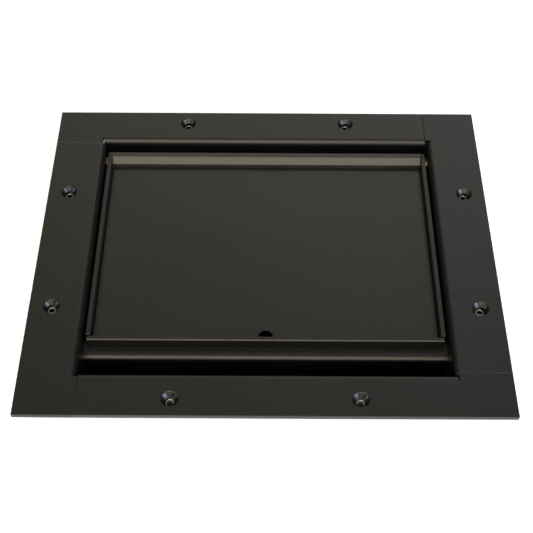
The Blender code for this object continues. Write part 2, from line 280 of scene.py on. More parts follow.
@dataclass(frozen=True)
class PowderCoat:
    """Black fine-texture polyester powder, sprayed on steel and baked.

    The eye sees a near-black, slightly warm film with a dull sheen, a fine sandy grain, a lazy
    orange peel in its highlights, thinner, paler and glossier film on every sharp edge, and
    bare bright steel on the ring that the screws bear on at the bottom of each hole.
    """

    name: str = "black_fine_texture_powder_coat"
    film: str = "#050504"
    thick_film: str = "#030303"
    edge_film: str = "#2b2a26"
    bare_steel: str = "#85857f"
    specular: float = 0.30
    roughness: float = 0.31
    edge_roughness: float = 0.27
    # The real grain is about 0.3 mm; it is drawn at 0.9 mm, since finer would not show.
    grain_mm: float = 0.9
    grain_height_mm: float = 0.075
    peel_mm: float = 4.5
    peel_height_mm: float = 0.030
    cloud_mm: float = 45.0
    wear: Point2 = (0.25, 0.55)
    most_worn: float = 0.65
    duller: float = 0.06
    brighter: float = 0.05

    def make(self) -> bpy.types.Material:
        """Make the node material.

        Returns:
            The material.
        """
        material, tree, shader = new_material(self.name)
        place = add_node(tree, "TexCoord").outputs["Object"]
        cloud = add_noise(tree, place, self.cloud_mm, detail=3.0, roughness=0.6)
        grain = add_noise(tree, place, self.grain_mm, detail=3.0, roughness=0.65)
        peel = add_noise(tree, place, self.peel_mm, detail=1.5)
        edge = add_node(tree, "Attribute", {"attribute_name": "edge"}).outputs["Fac"]
        bare = add_node(tree, "Attribute", {"attribute_name": "bare"}).outputs["Fac"]
        broken_edge = add_node(tree, "Math", {"operation": "MULTIPLY"}, {0: edge, 1: grain})
        worn = add_range(tree, broken_edge.outputs["Value"], self.wear, (0.0, self.most_worn))
        thick_film = to_linear(self.thick_film)
        base = add_ramp(tree, cloud, ((0.35, thick_film), (0.68, to_linear(self.film))))
        coloured = add_mix(tree, worn, base, to_linear(self.edge_film))
        ringed = add_mix(tree, bare, coloured, to_linear(self.bare_steel))
        tree.links.new(ringed, shader.inputs["Base Color"])
        tree.links.new(bare, shader.inputs["Metallic"])
        sheen = (self.roughness - self.brighter, self.roughness + self.duller)
        matt = add_range(tree, grain, (0.25, 0.75), sheen)
        rough = add_node(
            tree,
            "Mix",
            {"data_type": "FLOAT"},
            {"Factor": worn, "A": matt, "B": self.edge_roughness},
        )
        tree.links.new(rough.outputs["Result"], shader.inputs["Roughness"])
        shader.inputs["Specular IOR Level"].default_value = self.specular
        wave = add_bump(tree, peel, self.peel_height_mm)
        sand = add_bump(tree, grain, self.grain_height_mm)
        tree.links.new(wave.outputs["Normal"], sand.inputs["Normal"])
        tree.links.new(sand.outputs["Normal"], shader.inputs["Normal"])
        return material


@dataclass(frozen=True)
class TurnedBrass:
    """Free-cutting brass, turned on a lathe and left bare, with a light brown tarnish.

    The eye sees a warm yellow metal with fine rings round its axis and duller patches.
    """

    name: str = "turned_brass"
    bright: str = "#b07f45"
    tarnish: str = "#6b4a26"
    roughness: float = 0.20
    ring_mm: float = 0.22
    ring_height_mm: float = 0.012
    patch_mm: float = 2.6

    def make(self) -> bpy.types.Material:
        """Make the node material.

        Returns:
            The material.
        """
        return lathe_metal(self)


@dataclass(frozen=True)
class ZincPlate:
    """Bright zinc plate with clear passivation on turned steel.

    The eye sees a cool grey metal, faintly blue, with fine turning rings and cloudy patches.
    """

    name: str = "zinc_plated_steel"
    bright: str = "#c3c7cb"
    tarnish: str = "#8f959c"
    roughness: float = 0.33
    ring_mm: float = 0.18
    ring_height_mm: float = 0.008
    patch_mm: float = 1.8

    def make(self) -> bpy.types.Material:
        """Make the node material.

        Returns:
            The material.
        """
        return lathe_metal(self)


@dataclass(frozen=True)
class MouldedRubber:
    """Black moulded rubber, with a satin skin and a little bloom.

    The eye sees a deep matt black that is greyer where the bloom lies.
    """

    name: str = "moulded_black_rubber"
    black: str = "#0f0f0f"
    bloom: str = "#242423"
    roughness: float = 0.72
    bloom_mm: float = 1.6
    skin_mm: float = 0.25
    skin_height_mm: float = 0.010
    ior: float = 1.52

    def make(self) -> bpy.types.Material:
        """Make the node material.

        Returns:
            The material.
        """
        material, tree, shader = new_material(self.name)
        place = add_node(tree, "TexCoord").outputs["Object"]
        bloom = add_noise(tree, place, self.bloom_mm, detail=4.0)
        skin = add_noise(tree, place, self.skin_mm, detail=2.0)
        stops = ((0.40, to_linear(self.black)), (0.75, to_linear(self.bloom)))
        tree.links.new(add_ramp(tree, bloom, stops), shader.inputs["Base Color"])
        shader.inputs["Roughness"].default_value = self.roughness
        shader.inputs["IOR"].default_value = self.ior
        bump = add_bump(tree, skin, self.skin_height_mm)
        tree.links.new(bump.outputs["Normal"], shader.inputs["Normal"])
        return material


@dataclass(frozen=True)
class PaleFloor:
    """Matt pale studio floor, a little uneven, with painted shade under the hatch.

    The eye sees a clean pale ground. A near-black rectangle under the hatch and near-black spots under
    the screw holes are painted shade, which makes the slot, the gaps and most screw holes black.
    """

    name: str = "pale_studio_floor"
    pale: str = "#eef0f9"
    cloud_scale: float = 1.3
    cloud_shade: float = 0.97
    # Painted shade: a near-black rectangle under the hatch and near-black spots where the screw holes
    # look down, softened at their edge.
    painted_shade: str = "#020202"
    painted_shade_half: tuple[float, float, float] = (124.0 * MM, 105.3 * MM, 1.0)
    painted_shade_blur: float = 1.0 * MM
    spots: tuple[Point2, ...] = ()
    spot_radius: float = 2.8 * MM

    def make(self) -> bpy.types.Material:
        """Make the node material.

        Returns:
            The material.
        """
        material, tree, shader = new_material(self.name)
        place = add_node(tree, "TexCoord").outputs["Object"]
        cloud = add_node(
            tree, "TexNoise", inputs={"Vector": place, "Scale": self.cloud_scale, "Detail": 2.0}
        )
        pale = to_linear(self.pale)
        shade = tuple(channel * self.cloud_shade for channel in pale[:3]) + (1.0,)
        colour = add_ramp(tree, cloud.outputs["Fac"], ((0.3, shade), (0.7, pale)))
        # Painted shade: the floor turns near-black inside the rectangle under the hatch and in the
        # spots under the holes.
        open_floor = add_range(
            tree, self.past_dark(tree, place), (-self.painted_shade_blur, self.painted_shade_blur), kind="SMOOTHSTEP"
        )
        shaded = add_mix(tree, open_floor, to_linear(self.painted_shade), colour)
        tree.links.new(shaded, shader.inputs["Base Color"])
        shader.inputs["Roughness"].default_value = 1.0
        shader.inputs["Specular IOR Level"].default_value = 0.0
        return material

    def past_dark(
        self, tree: bpy.types.NodeTree, place: bpy.types.NodeSocket
    ) -> bpy.types.NodeSocket:
        """Measure how far a place lies outside the painted shade's dark rectangle and dark spots.

        Args:
            tree: The node tree.
            place: The place.

        Returns:
            The distance, below 0 in the painted shade.
        """
        far = add_node(tree, "VectorMath", {"operation": "ABSOLUTE"}, {0: place})
        past = add_node(
            tree,
            "VectorMath",
            {"operation": "SUBTRACT"},
            {0: far.outputs["Vector"], 1: self.painted_shade_half},
        )
        sides = add_node(tree, "SeparateXYZ", inputs={"Vector": past.outputs["Vector"]}).outputs
        edge = add_node(tree, "Math", {"operation": "MAXIMUM"}, {0: sides["X"], 1: sides["Y"]})
        for x, y in self.spots:
            reach = add_node(
                tree, "VectorMath", {"operation": "DISTANCE"}, {0: place, 1: (x, y, 0.0)}
            )
            rim = add_node(
                tree,
                "Math",
                {"operation": "SUBTRACT"},
                {0: reach.outputs["Value"], 1: self.spot_radius},
            )
            edge = add_node(
                tree,
                "Math",
                {"operation": "MINIMUM"},
                {0: edge.outputs["Value"], 1: rim.outputs["Value"]},
            )
        return edge.outputs["Value"]


def new_material(
    name: str,
) -> tuple[bpy.types.Material, bpy.types.NodeTree, bpy.types.Node]:
    """Make an empty Principled material.

    Args:
        name: The finish's name.

    Returns:
        The material, its node tree and its Principled shader.
    """
    material = bpy.data.materials.new(name)
    material.use_nodes = True
    tree = material.node_tree
    return material, tree, tree.nodes["Principled BSDF"]


def lathe_metal(finish: "TurnedBrass | ZincPlate") -> bpy.types.Material:
    """Make a turned metal: rings across the turning axis, which is X, and cloudy patches.

    Args:
        finish: The metal's colours, roughness and pattern sizes.

    Returns:
        The material.
    """
    material, tree, shader = new_material(finish.name)
    place = add_node(tree, "TexCoord").outputs["Object"]
    patch = add_noise(tree, place, finish.patch_mm, detail=3.0, roughness=0.6)
    rings = add_node(
        tree,
        "TexWave",
        {"wave_type": "BANDS", "bands_direction": "X"},
        {
            "Vector": place,
            "Scale": repeats(finish.ring_mm) / (2 * math.pi),
            "Distortion": 0.6,
            "Detail": 1.0,
        },
    )
    stops = ((0.42, to_linear(finish.bright)), (0.72, to_linear(finish.tarnish)))
    tree.links.new(add_ramp(tree, patch, stops), shader.inputs["Base Color"])
    sheen = (finish.roughness - 0.06, finish.roughness + 0.16)
    rough = add_range(tree, patch, (0.35, 0.75), sheen)
    tree.links.new(rough, shader.inputs["Roughness"])
    shader.inputs["Metallic"].default_value = 1.0
    bump = add_bump(tree, rings.outputs["Fac"], finish.ring_height_mm, strength=0.6)
    tree.links.new(bump.outputs["Normal"], shader.inputs["Normal"])
    return material


def is_level(edge: bmesh.types.BMEdge) -> bool:
    """Whether an edge runs level."""
    return abs(edge.verts[0].co.z - edge.verts[1].co.z) < TOUCHING


class Shape:
    """A closed shape under construction, in metres in the hatch's own frame."""

    def __init__(self) -> None:
        """Start with an empty mesh."""
        self.bm = bmesh.new()

    @classmethod
    def box(cls, low: Iterable[float], high: Iterable[float]) -> "Shape":
        """Make a box.

        Args:
            low: Its lowest corner.
            high: Its highest corner.

        Returns:
            The box.
        """
        shape = cls()
        low, high = Vector(low), Vector(high)
        size = Matrix.Diagonal((*(high - low), 1.0))
        middle = Matrix.Translation((low + high) / 2)
        bmesh.ops.create_cube(shape.bm, size=1.0, matrix=middle @ size)
        return shape

    @classmethod
    def blank(
        cls,
        outline: Sequence[Point2],
        thickness: float,
        roundings: Sequence[Rounding] = (),
    ) -> "Shape":
        """Cut a flat blank whose top lies in the XY plane.

        Args:
            outline: Its corners in the plan, in order.
            thickness: How far it goes down from the plane.
            roundings: Corner number, distance along the sides and steps of rounded corners.

        Returns:
            The blank.
        """
        shape = cls()
        corners = [shape.bm.verts.new((x, y, 0.0)) for x, y in outline]
        shape.bm.faces.new(corners)
        shape.round_corners(corners, roundings)
        made = bmesh.ops.extrude_face_region(shape.bm, geom=shape.bm.faces[:])
        moved = [item for item in made["geom"] if isinstance(item, bmesh.types.BMVert)]
        bmesh.ops.translate(shape.bm, verts=moved, vec=(0.0, 0.0, -thickness))
        bmesh.ops.recalc_face_normals(shape.bm, faces=shape.bm.faces)
        return shape

    @classmethod
    def prism(
        cls,
        outline: Sequence[Point2],
        start: float,
        end: float,
        roundings: Sequence[Rounding] = (),
    ) -> "Shape":
        """Extrude a section of (y, z) points along X.

        Args:
            outline: The section's corners, in order.
            start: Lowest X.
            end: Highest X.
            roundings: Corner number, distance along the sides and steps of rounded corners.

        Returns:
            The prism.
        """
        shape = cls.blank(outline, end - start, roundings)
        upright = Matrix(((0, 0, 1, end), (1, 0, 0, 0), (0, 1, 0, 0), (0, 0, 0, 1)))
        return shape.turn(upright)

    @classmethod
    def turned(
        cls,
        profile: Sequence[Point2],
        centre: Iterable[float],
        axis: str = "Z",
        roundings: Sequence[Rounding] = (),
        sides: int = 48,
    ) -> "Shape":
        """Spin a closed profile of (radius, height) points about an axis.

        Args:
            profile: The half section's corners, in order.
            centre: A point on the axis, where the height is 0.
            axis: One of the names in TURN_AXES.
            roundings: Corner number, distance along the sides and steps of rounded corners.
            sides: Steps round the axis.

        Returns:
            The turned shape.
        """
        shape = cls()
        corners = [shape.bm.verts.new((radius, 0.0, height)) for radius, height in profile]
        shape.bm.faces.new(corners)
        shape.round_corners(corners, roundings)
        bmesh.ops.delete(shape.bm, geom=shape.bm.faces[:], context="FACES_ONLY")
        on_axis = [
            edge for edge in shape.bm.edges if all(abs(v.co.x) < TOUCHING for v in edge.verts)
        ]
        bmesh.ops.delete(shape.bm, geom=on_axis, context="EDGES")
        bmesh.ops.spin(
            shape.bm,
            geom=shape.bm.verts[:] + shape.bm.edges[:],
            cent=(0.0, 0.0, 0.0),
            axis=(0.0, 0.0, 1.0),
            angle=math.tau,
            steps=sides,
            use_merge=True,
        )
        bmesh.ops.remove_doubles(shape.bm, verts=shape.bm.verts, dist=TOUCHING)
        bmesh.ops.recalc_face_normals(shape.bm, faces=shape.bm.faces)
        return shape.turn(Matrix.Translation(Vector(centre)) @ TURN_AXES[axis])

    @classmethod
    def eased_hole(
        cls, place: Point2, radius: float, thickness: float, ease: float, steps: int
    ) -> "Shape":
        """Make the cutter of a round hole with eased mouths in a flat blank.

        Args:
            place: The hole's middle in the plan.
            radius: The hole's radius.
            thickness: The blank's thickness.
            ease: How far the mouths are rounded.
            steps: Facets across each rounding.

        Returns:
            The cutter.
        """
        wide = radius + CLEAR
        profile = (
            (0.0, CLEAR),
            (wide, CLEAR),
            (wide, SKIM),
            (radius, SKIM),
            (radius, -thickness - SKIM),
            (wide, -thickness - SKIM),
            (wide, -thickness - CLEAR),
            (0.0, -thickness - CLEAR),
        )
        return cls.turned(profile, (*place, 0.0), roundings=((3, ease, steps), (4, ease, steps)))

    def round_corners(
        self, corners: Sequence[bmesh.types.BMVert], roundings: Sequence[Rounding]
    ) -> None:
        """Round some corners of a flat face.

        Args:
            corners: The face's corners.
            roundings: Corner number, distance along the sides and steps of each.
        """
        for number, distance, steps in roundings:
            bmesh.ops.bevel(
                self.bm,
                geom=[corners[number]],
                offset=distance,
                segments=steps,
                profile=0.5,
                affect="VERTICES",
                material=-1,
            )

    def turn(self, matrix: Matrix) -> "Shape":
        """Move every vertex by a matrix."""
        bmesh.ops.transform(self.bm, matrix=matrix, verts=self.bm.verts)
        return self

    def bend(self, place: Callable[[Vector], Vector]) -> "Shape":
        """Move each vertex to where `place` puts it."""
        for vert in self.bm.verts:
            vert.co = place(vert.co)
        return self

    def slice(self, axis: int, places: Iterable[float]) -> "Shape":
        """Cut the faces along planes square to an axis, so that the shape can bend there.

        Args:
            axis: 0, 1 or 2 for X, Y or Z.
            places: Where each plane crosses the axis.

        Returns:
            The shape.
        """
        for place in places:
            normal = Vector((0.0, 0.0, 0.0))
            normal[axis] = 1.0
            bmesh.ops.bisect_plane(
                self.bm,
                geom=self.bm.verts[:] + self.bm.edges[:] + self.bm.faces[:],
                plane_co=normal * place,
                plane_no=normal,
            )
        return self

    def ease(
        self,
        radius: float,
        wanted: Callable[[bmesh.types.BMEdge], bool] = lambda edge: True,
        steps: int = 3,
        sharper_than: float = math.radians(40.0),
    ) -> "Shape":
        """Round sharp edges.

        Args:
            radius: How far the rounding reaches from the edge.
            wanted: Says of a sharp edge whether it is rounded.
            steps: Facets across the rounding.
            sharper_than: Edges that turn by less are left.

        Returns:
            The shape.
        """
        edges = [
            edge
            for edge in self.bm.edges
            if edge.is_manifold and edge.calc_face_angle() > sharper_than and wanted(edge)
        ]
        bmesh.ops.bevel(
            self.bm,
            geom=edges,
            offset=radius,
            segments=steps,
            profile=0.5,
            affect="EDGES",
            material=-1,
        )
        return self

    def combined(self, others: Iterable["Shape"], operation: str) -> "Shape":
        """Cut other shapes out of this one, or join them to it.

        Args:
            others: The shapes, each closed.
            operation: DIFFERENCE or UNION.

        Returns:
            The shape, changed in place.
        """
        body = self.to_object("working_body")
        tools = [other.to_object("working_tool") for other in others]
        for tool in tools:
            boolean = body.modifiers.new("boolean", "BOOLEAN")
            boolean.operation = operation
            boolean.solver = "EXACT"
            boolean.object = tool
        bpy.context.view_layer.update()
        depsgraph = bpy.context.evaluated_depsgraph_get()
        result = bpy.data.meshes.new_from_object(body.evaluated_get(depsgraph))
        self.bm = bmesh.new()
        self.bm.from_mesh(result)
        bpy.data.meshes.remove(result)
        for used in [body, *tools]:
            mesh = used.data
            bpy.data.objects.remove(used)
            bpy.data.meshes.remove(mesh)
        bmesh.ops.remove_doubles(self.bm, verts=self.bm.verts, dist=TOUCHING)
        return self

    def to_object(self, name: str) -> bpy.types.Object:
        """Turn the shape into an object, and free the shape.

        Args:
            name: The object's name.

        Returns:
            The object, at the origin.
        """
        mesh = bpy.data.meshes.new(name)
        self.bm.to_mesh(mesh)
        self.bm.free()
        piece = bpy.data.objects.new(name, mesh)
        bpy.context.scene.collection.objects.link(piece)
        return piece

    def mark(self, name: str, wanted: Callable[[Vector], bool]) -> "Shape":
        """Store 1 on some vertices, and 0 on the rest.

        Args:
            name: The attribute's name.
            wanted: Says of a place whether its vertex is marked.

        Returns:
            The shape.
        """
        layer = self.bm.verts.layers.float.new(name)
        for vert in self.bm.verts:
            vert[layer] = float(wanted(vert.co))
        return self

    def mark_edges(self, flat: float = math.radians(20.0), sharp: float = math.radians(30.0)) -> None:
        """Store on each vertex how sharply the surface turns there, for wear.

        Args:
            flat: Turns up to this count as flat.
            sharp: Turns from this on count as an edge.
        """
        layer = self.bm.verts.layers.float.new("edge")
        for vert in self.bm.verts:
            turns = [edge.calc_face_angle(0.0) for edge in vert.link_edges]
            share = (max(turns, default=0.0) - flat) / (sharp - flat)
            vert[layer] = min(1.0, max(0.0, share))

    def finish(
        self, name: str, body: Body, material: bpy.types.Material, slot: str, nodes: Sequence[str]
    ) -> bpy.types.Object:
        """Turn the shape into a finished piece that stands for CAD nodes.

        Args:
            name: The piece's name.
            body: The body that it rides on.
            material: Its finish.
            slot: The record's material slot; not used.
            nodes: The CAD nodes that it stands for.

        Returns:
            The piece.
        """
        bmesh.ops.remove_doubles(self.bm, verts=self.bm.verts, dist=TOUCHING)
        bmesh.ops.recalc_face_normals(self.bm, faces=self.bm.faces)
        self.mark_edges()
        piece = self.to_object(name)
        piece.data.shade_smooth()
        piece.data.set_sharp_from_angle(angle=SMOOTH_ANGLE)
        piece.data.materials.append(material)
        weighted = piece.modifiers.new("even_normals", "WEIGHTED_NORMAL")
        weighted.keep_sharp = True
        weighted.weight = 100
        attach(piece, body.value)
        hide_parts(*nodes)
        LOG.info("%s: %d faces on %s", name, len(piece.data.polygons), body.value)
        return piece


@dataclass(frozen=True)
class Finishes:
    """The hatch's materials."""

    coat: bpy.types.Material
    brass: bpy.types.Material
    zinc: bpy.types.Material
    rubber: bpy.types.Material


@dataclass(frozen=True)
class Sheet:
    """The steel sheet that the rails and the lid plate are folded from."""

    thickness: float = 3.4 * MM
    bend_radius: float = 3.8 * MM
    arris: float = 0.30 * MM
    bend_steps: int = 14

    @property
    def arc(self) -> float:
        """Length of the outer face round a bend."""
        return self.bend_radius * QUARTER

    def bend_lines(self, bend_line: float) -> list[float]:
        """Where a blank that bends from `bend_line` down to lower Y has to be sliced."""
        return [bend_line - self.arc * step / self.bend_steps for step in range(self.bend_steps + 1)]

    def fold(self, bend_line: float, from_x: float = -math.inf) -> Callable[[Vector], Vector]:
        """Fold what lies below a line in Y straight down.

        Args:
            bend_line: The line's Y, where the bend starts.
            from_x: Only what lies at higher X is folded.

        Returns:
            A function from a vertex's place in the blank to its place in the folded piece.
        """

        def place(point: Vector) -> Vector:
            past = bend_line - point.y
            if past <= 0.0 or point.x < from_x:
                return point
            angle = min(past / self.arc, 1.0) * QUARTER
            reach = self.bend_radius + point.z
            straight = max(past - self.arc, 0.0)
            return Vector(
                (
                    point.x,
                    bend_line - reach * math.sin(angle),
                    -self.bend_radius + reach * math.cos(angle) - straight,
                )
            )

        return place


@dataclass(frozen=True)
class Countersink:
    """A pressed screw hole: an 82 degree cone in a dimple that stands below the sheet."""

    mouth_radius: float = 5.4 * MM
    socket_radius: float = 3.0 * MM
    cone_depth: float = 2.8 * MM
    hole_radius: float = 2.0 * MM
    lip: float = 0.6 * MM
    collar_radius: float = 4.4 * MM
    collar_depth: float = 5.4 * MM
    flare_radius: float = 6.0 * MM
    flare_drop: float = 0.9 * MM
    socket_taper: float = 0.25 * MM
    mouth_ease: float = 0.55 * MM
    socket_ease: float = 0.25 * MM
    shelf_ease: float = 0.12 * MM
    lip_ease: float = 0.42 * MM
    neck_ease: float = 0.7 * MM
    collar_ease: float = 0.3 * MM
    bare_width: float = 0.45 * MM
    bare_margin: float = 0.05 * MM
    shelf_top: float = 3.3 * MM

    def cutter(self, x: float, y: float) -> Shape:
        """The space in the hole."""
        slope = (self.mouth_radius - self.socket_radius) / self.cone_depth
        shelf = self.lip - self.collar_depth
        profile = (
            (0.0, CLEAR),
            (self.mouth_radius + 2 * MM, CLEAR),
            (self.mouth_radius + 2 * MM, SKIM),
            (self.mouth_radius + slope * SKIM, SKIM),
            (self.socket_radius, -self.cone_depth),
            (self.socket_radius - self.socket_taper, shelf),
            (self.hole_radius, shelf),
            (self.hole_radius, -self.collar_depth - CLEAR),
            (0.0, -self.collar_depth - CLEAR),
        )
        roundings = (
            (3, self.mouth_ease, 5),
            (4, self.socket_ease, 3),
            (5, self.shelf_ease, 2),
            (6, self.lip_ease, 5),
        )
        return Shape.turned(profile, (x, y, 0.0), roundings=roundings)

    def bears(self, place: Vector, x: float, y: float) -> bool:
        """Whether a place is on the ring at the bottom of the hole, near its bright edge."""
        past = math.hypot(place.x - x, place.y - y) - self.hole_radius
        foot = -self.collar_depth + self.bare_margin
        return self.bare_margin < past < self.bare_width and foot < place.z < -self.shelf_top

    def collar(self, x: float, y: float, sheet: float) -> Shape:
        """The dimple's outside, below the sheet."""
        profile = (
            (0.0, -sheet / 2),
            (self.flare_radius + 0.5 * MM, -sheet / 2),
            (self.flare_radius, -sheet - 0.02 * MM),
            (self.collar_radius, -sheet - self.flare_drop),
            (self.collar_radius, -self.collar_depth),
            (0.0, -self.collar_depth),
        )
        roundings = ((3, self.neck_ease, 4), (4, self.collar_ease, 3))
        return Shape.turned(profile, (x, y, 0.0), roundings=roundings)


@dataclass(frozen=True)
class RailPlan:
    """One frame rail before it is turned to its side: it is built on the +Y side."""

    node: str
    quarter: int
    frame_end: float
    throat_end: float
    wall: float
    outer: float
    hole_spacing: float
    hole_inset: float
    pivot_at: float | None = None


@dataclass
class HatchFrame:
    """The frame: four rails folded from sheet, joined pinwheel fashion, and their welds."""

    finishes: Finishes
    sheet: Sheet = Sheet()
    sink: Countersink = Countersink()
    lap: float = 2.0 * MM
    corner_gap: float = 1.2 * MM
    seam: float = 0.08 * MM
    relief: float = 0.6 * MM
    corner: float = 0.5 * MM
    relief_corner: float = 0.9 * MM
    spacing_wide: float = 115.8 * MM
    spacing_deep: float = 97.0 * MM
    inset_wide: float = 11.4 * MM
    inset_deep: float = 14.3 * MM
    bush_hole: float = 4.0 * MM
    bush_hole_ease: float = 0.3 * MM
    weld_radius: float = 2.2 * MM
    weld_margin: float = 1.0 * MM
    weld_gap: float = 0.05 * MM
    ripple_pitch: float = 1.1 * MM
    ripple_height: float = 0.14 * MM

    def __post_init__(self) -> None:
        """Take the frame's places from the CAD nodes."""
        low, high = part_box("frame_rail_back")
        self.top = high.z
        self.half_depth = high.y
        self.back_wall = low.y
        low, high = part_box("frame_rail_right")
        self.half_width = high.x
        self.side_wall = low.x
        low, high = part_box("pivot_bush_right")
        self.pivot_y = (low.y + high.y) / 2
        self.pivot_z = (low.z + high.z) / 2

    def plans(self) -> tuple[RailPlan, ...]:
        """The four rails, each turned a quarter from the one before."""
        long_side = (self.half_width, self.side_wall, self.back_wall, self.half_depth)
        short_side = (self.half_depth, self.back_wall, self.side_wall, self.half_width)
        wide = (self.spacing_wide, self.inset_wide)
        deep = (self.spacing_deep, self.inset_deep)
        return (
            RailPlan("frame_rail_back", 0, *long_side, *wide),
            RailPlan("frame_rail_right", -1, *short_side, *deep, -self.pivot_y),
            RailPlan("frame_rail_front", -2, *long_side, *wide),
            RailPlan("frame_rail_left", -3, *short_side, *deep, self.pivot_y),
        )

    def build(self) -> None:
        """Build the rails and their corner welds."""
        for plan in self.plans():
            self.build_rail(plan)
            self.build_weld(plan)

    def to_side(self, plan: RailPlan) -> Matrix:
        """The turn about Z and the lift that bring a rail to its place."""
        return Matrix.Translation((0.0, 0.0, self.top)) @ Matrix.Rotation(
            plan.quarter * QUARTER, 4, "Z"
        )

    def build_rail(self, plan: RailPlan) -> None:
        """Cut, pierce and fold one rail.

        Args:
            plan: The rail's sizes and side.
        """
        sheet = self.sheet
        bend_line = plan.wall + sheet.bend_radius
        bend_start = -plan.throat_end - self.lap
        bend_end = plan.throat_end - self.corner_gap - self.seam
        tab_edge = plan.wall - self.corner_gap
        foot = bend_line - sheet.arc - (self.top - sheet.bend_radius)
        outline = (
            (-plan.frame_end, plan.outer),
            (-plan.frame_end, tab_edge),
            (bend_start - self.relief, tab_edge),
            (bend_start - self.relief, bend_line + self.relief),
            (bend_start, bend_line + self.relief),
            (bend_start, foot),
            (bend_end, foot),
            (bend_end, plan.outer),
        )
        roundings = ((0, self.corner, 4), (2, self.relief_corner, 5))
        rail = Shape.blank(outline, sheet.thickness, roundings)
        rail.ease(sheet.arris, is_level)
        rail.slice(1, sheet.bend_lines(bend_line))
        hole_y = plan.outer - plan.hole_inset
        holes = [(side * plan.hole_spacing / 2, hole_y) for side in (-1, 1)]
        rail.combined([self.sink.collar(x, y, sheet.thickness) for x, y in holes], "UNION")
        cutters = [self.sink.cutter(x, y) for x, y in holes]
        if plan.pivot_at is not None:
            drop = self.top - self.pivot_z - sheet.bend_radius
            middle = (plan.pivot_at, bend_line - sheet.arc - drop)
            ease = self.bush_hole_ease
            cutters.append(Shape.eased_hole(middle, self.bush_hole, sheet.thickness, ease, 3))
        rail.combined(cutters, "DIFFERENCE")
        rail.mark("bare", lambda place: any(self.sink.bears(place, x, y) for x, y in holes))
        rail.bend(sheet.fold(bend_line, bend_start - self.relief / 2))
        rail.turn(self.to_side(plan))
        rail.finish(
            plan.node.replace("frame_", ""), Body.FRAME, self.finishes.coat, "black_steel", [plan.node]
        )

    def build_weld(self, plan: RailPlan) -> None:
        """Lay the rippled bead outside a throat corner.

        Args:
            plan: The rail whose left end has the bead.
        """
        height = self.top - self.weld_margin - self.sheet.bend_radius - self.weld_margin
        ripples = round(height / self.ripple_pitch)
        points: list[Point2] = [(0.0, 0.0)]
        for number in range(ripples * 4 + 1):
            share = number / (ripples * 4)
            swell = abs(math.sin(share * ripples * math.pi))
            radius = self.weld_radius - self.ripple_height * (1 - swell)
            end = min(share, 1 - share) * height
            radius *= min(1.0, 0.75 + end / self.weld_radius * 0.25)
            points.append((radius, share * height))
        points.append((0.0, height))
        bead = Shape.turned(points, (0.0, 0.0, 0.0), sides=32)
        for normal in ((1.0, 0.0, 0.0), (0.0, -1.0, 0.0)):
            cut = bmesh.ops.bisect_plane(
                bead.bm,
                geom=bead.bm.verts[:] + bead.bm.edges[:] + bead.bm.faces[:],
                plane_co=(0.0, 0.0, 0.0),
                plane_no=normal,
                clear_outer=True,
            )
            rim = [item for item in cut["geom_cut"] if isinstance(item, bmesh.types.BMEdge)]
            bmesh.ops.holes_fill(bead.bm, edges=rim)
        foot = self.weld_margin - self.top
        corner = (
            -plan.throat_end - self.lap - self.weld_gap,
            plan.wall - self.corner_gap,
            foot,
        )
        bead.turn(self.to_side(plan) @ Matrix.Translation(corner))
        node = plan.node.replace("frame_rail", "corner_weld")
        bead.finish(
            node.replace("corner_weld", "weld_bead"),
            Body.FRAME,
            self.finishes.coat,
            "black_steel",
            [node],
        )


